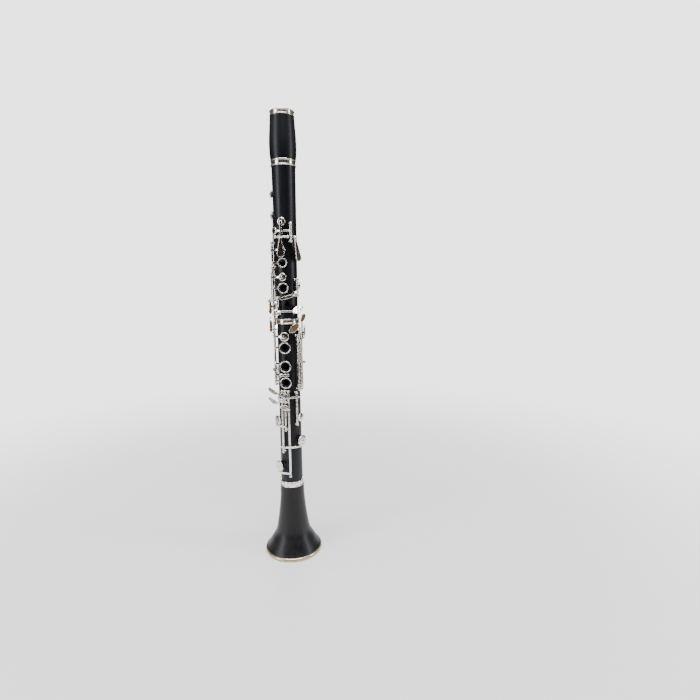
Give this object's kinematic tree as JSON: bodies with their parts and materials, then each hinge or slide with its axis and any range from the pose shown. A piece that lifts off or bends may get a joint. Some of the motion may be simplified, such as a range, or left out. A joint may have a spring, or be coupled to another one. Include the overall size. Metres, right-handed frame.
{
  "type": "clarinet",
  "caption": "Black wooden clarinet in barrel, upper joint, lower joint and flared bell, with silver ring keys, levers and pad cups on posts and rods; mouthpiece not included.",
  "frame": {"origin": "centre of the flat end face of the bell rim", "axes": "+Z along the bore axis from the bell to the barrel; the finger holes face -Y; the right-hand side keys are at -X"},
  "size_m": [0.08, 0.08, 0.588],
  "materials": {
    "grenadilla": "satin oiled, fine straight grain",
    "bell_wood": "satin oiled, brownish straight grain",
    "silver_rings": "polished silver plate",
    "rim_brass": "pale satin gilt",
    "silver_keys": "polished silver plate",
    "silver_posts": "polished silver plate",
    "steel_rods": "turned steel",
    "blued_steel": "blued spring steel",
    "pads": "fish skin over felt",
    "cork": "waxed cork"
  },
  "bodies": {
    "root": {"upper_joint": "grenadilla", "lower_joint": "grenadilla", "lower_joint_ring": "silver_rings", "tenon_corks": "cork", "bell": "bell_wood", "bell_socket_ring": "silver_rings", "bell_rim_ring": "rim_brass", "thumb_tube": "silver_posts", "thumb_rest": "silver_posts", "thumb_rest_screws": "steel_rods", "upper_posts": "silver_posts", "lower_posts": "silver_posts", "upper_rods": "steel_rods", "lower_rods": "steel_rods", "needle_springs": "blued_steel"},
    "barrel": {"barrel": "grenadilla", "barrel_top_ring": "silver_rings", "barrel_bottom_ring": "silver_rings"},
    "index_ring_key": {"index_ring_key": "silver_keys", "vent_pad": "pads"},
    "upper_ring_key": {"upper_ring_key": "silver_keys", "middle_pad": "pads"},
    "thumb_ring_key": {"thumb_ring_key": "silver_keys"},
    "g_sharp_key": {"g_sharp_key": "silver_keys", "g_sharp_pad": "pads"},
    "side_key_1": {"side_key_1": "silver_keys", "side_pad_1": "pads"},
    "side_key_2": {"side_key_2": "silver_keys", "side_pad_2": "pads"},
    "side_key_3": {"side_key_3": "silver_keys", "side_pad_3": "pads"},
    "side_key_4": {"side_key_4": "silver_keys", "side_pad_4": "pads"},
    "e_flat_key": {"e_flat_key": "silver_keys", "e_flat_pad": "pads"},
    "c_sharp_key": {"c_sharp_key": "silver_keys", "c_sharp_pad": "pads"},
    "lower_ring_key": {"lower_ring_key": "silver_keys", "top_ring_pad": "pads"},
    "b_key": {"b_key": "silver_keys", "b_pad": "pads"},
    "e_key": {"e_key": "silver_keys", "e_pad": "pads"},
    "f_sharp_key": {"f_sharp_key": "silver_keys", "f_sharp_pad": "pads"},
    "f_key": {"f_key": "silver_keys", "f_pad": "pads"},
    "a_flat_key": {"a_flat_key": "silver_keys", "a_flat_pad": "pads"},
    "e_lever": {"e_lever": "silver_keys"},
    "f_lever": {"f_lever": "silver_keys"},
    "f_sharp_lever": {"f_sharp_lever": "silver_keys"},
    "throat_a_key": {"throat_a_key": "silver_keys", "throat_a_pad": "pads"},
    "register_key": {"register_key": "silver_keys", "register_pad": "pads"}
  },
  "joints": [
    {"name": "barrel_slide", "type": "slide", "parent": "root", "child": "barrel", "axis": [0, 0, 1], "range_m": [0, 0.003]},
    {"name": "index_ring_key_turn", "type": "hinge", "parent": "root", "child": "index_ring_key", "pos_m": [-0.01607, -0.00854, 0.413], "axis": [0, 0, 1], "range_deg": [0, 4.4], "stiffness_Nm_per_rad": 0.01, "springref_deg": -28.65},
    {"name": "upper_ring_key_turn", "type": "hinge", "parent": "root", "child": "upper_ring_key", "pos_m": [-0.01607, -0.00854, 0.367], "axis": [0, 0, 1], "range_deg": [0, 5.4], "stiffness_Nm_per_rad": 0.01, "springref_deg": -28.65},
    {"name": "thumb_ring_key_turn", "type": "hinge", "parent": "root", "child": "thumb_ring_key", "pos_m": [-0.0091, 0.01576, 0.39775], "axis": [0, 0, -1], "range_deg": [0, 8], "stiffness_Nm_per_rad": 0.01, "springref_deg": -28.65},
    {"name": "g_sharp_key_turn", "type": "hinge", "parent": "root", "child": "g_sharp_key", "pos_m": [0.0112, -0.01434, 0.441], "axis": [0, 0, 1], "range_deg": [0, 6], "stiffness_Nm_per_rad": 0.01, "springref_deg": -28.65},
    {"name": "side_key_1_turn", "type": "hinge", "parent": "root", "child": "side_key_1", "pos_m": [-0.0175, 0.00502, 0.3705], "axis": [0, 0, -1], "range_deg": [0, 10], "stiffness_Nm_per_rad": 0.01, "springref_deg": -28.65},
    {"name": "side_key_2_turn", "type": "hinge", "parent": "root", "child": "side_key_2", "pos_m": [-0.01576, 0.0091, 0.371], "axis": [0, 0, -1], "range_deg": [0, 8], "stiffness_Nm_per_rad": 0.01, "springref_deg": -28.65},
    {"name": "side_key_3_turn", "type": "hinge", "parent": "root", "child": "side_key_3", "pos_m": [-0.0175, 0.00502, 0.427], "axis": [0, 0, -1], "range_deg": [0, 10], "stiffness_Nm_per_rad": 0.01, "springref_deg": -28.65},
    {"name": "side_key_4_turn", "type": "hinge", "parent": "root", "child": "side_key_4", "pos_m": [-0.01576, 0.0091, 0.45], "axis": [0, 0, -1], "range_deg": [0, 8], "stiffness_Nm_per_rad": 0.01, "springref_deg": -28.65},
    {"name": "e_flat_key_turn", "type": "hinge", "parent": "root", "child": "e_flat_key", "pos_m": [0.01636, -0.00798, 0.3715], "axis": [0, 0, -1], "range_deg": [0, 8], "stiffness_Nm_per_rad": 0.01, "springref_deg": -28.65},
    {"name": "c_sharp_key_turn", "type": "hinge", "parent": "root", "child": "c_sharp_key", "pos_m": [-0.00826, -0.01622, 0.348], "axis": [0, 0, 1], "range_deg": [0, 6], "stiffness_Nm_per_rad": 0.01, "springref_deg": -28.65},
    {"name": "lower_ring_key_turn", "type": "hinge", "parent": "root", "child": "lower_ring_key", "pos_m": [-0.01607, -0.00854, 0.2795], "axis": [0, 0, 1], "range_deg": [0, 5.4], "stiffness_Nm_per_rad": 0.01, "springref_deg": -28.65},
    {"name": "b_key_turn", "type": "hinge", "parent": "root", "child": "b_key", "pos_m": [-0.01095, -0.01454, 0.2595], "axis": [0, 0, 1], "range_deg": [0, 7], "stiffness_Nm_per_rad": 0.01, "springref_deg": -28.65},
    {"name": "e_key_turn", "type": "hinge", "parent": "root", "child": "e_key", "pos_m": [0.00313, -0.01773, 0.17475], "axis": [0, 0, -1], "range_deg": [0, 8.4], "stiffness_Nm_per_rad": 0.01, "springref_deg": -28.65},
    {"name": "f_sharp_key_turn", "type": "hinge", "parent": "root", "child": "f_sharp_key", "pos_m": [-0.00141, -0.01794, 0.20775], "axis": [0, 0, -1], "range_deg": [0, 8], "stiffness_Nm_per_rad": 0.01, "springref_deg": -28.65},
    {"name": "f_key_turn", "type": "hinge", "parent": "root", "child": "f_key", "pos_m": [-0.00586, -0.01702, 0.19225], "axis": [0, 0, 1], "range_deg": [0, 6], "stiffness_Nm_per_rad": 0.01, "springref_deg": -28.65},
    {"name": "a_flat_key_turn", "type": "hinge", "parent": "root", "child": "a_flat_key", "pos_m": [0.01295, -0.0125, 0.21], "axis": [0, 0, -1], "range_deg": [0, 8], "stiffness_Nm_per_rad": 0.01, "springref_deg": -28.65},
    {"name": "e_lever_turn", "type": "hinge", "parent": "root", "child": "e_lever", "pos_m": [0.01576, -0.0091, 0.27225], "axis": [0, 0, -1], "range_deg": [0, 8.4], "stiffness_Nm_per_rad": 0.01, "springref_deg": -28.65},
    {"name": "f_lever_turn", "type": "hinge", "parent": "root", "child": "f_lever", "pos_m": [0.0175, -0.00502, 0.27225], "axis": [0, 0, -1], "range_deg": [0, 9], "stiffness_Nm_per_rad": 0.01, "springref_deg": -28.65},
    {"name": "f_sharp_lever_turn", "type": "hinge", "parent": "root", "child": "f_sharp_lever", "pos_m": [0.01819, -0.00064, 0.27225], "axis": [0, 0, 1], "range_deg": [0, 8], "stiffness_Nm_per_rad": 0.01, "springref_deg": -28.65},
    {"name": "throat_a_key_turn", "type": "hinge", "parent": "root", "child": "throat_a_key", "pos_m": [0, -0.0178, 0.435], "axis": [1, 0, 0], "range_deg": [0, 5], "stiffness_Nm_per_rad": 0.01, "springref_deg": -28.65},
    {"name": "register_key_turn", "type": "hinge", "parent": "root", "child": "register_key", "pos_m": [0, 0.0182, 0.44], "axis": [-1, 0, 0], "range_deg": [0, 2.4], "stiffness_Nm_per_rad": 0.01, "springref_deg": -28.65}
  ],
  "couplings": [
    {"joint": "thumb_ring_key_turn", "follows": "index_ring_key_turn", "ratio": 1.8},
    {"joint": "e_lever_turn", "follows": "e_key_turn", "ratio": 1},
    {"joint": "f_lever_turn", "follows": "f_key_turn", "ratio": 1.5},
    {"joint": "f_sharp_lever_turn", "follows": "f_sharp_key_turn", "ratio": 1}
  ]
}
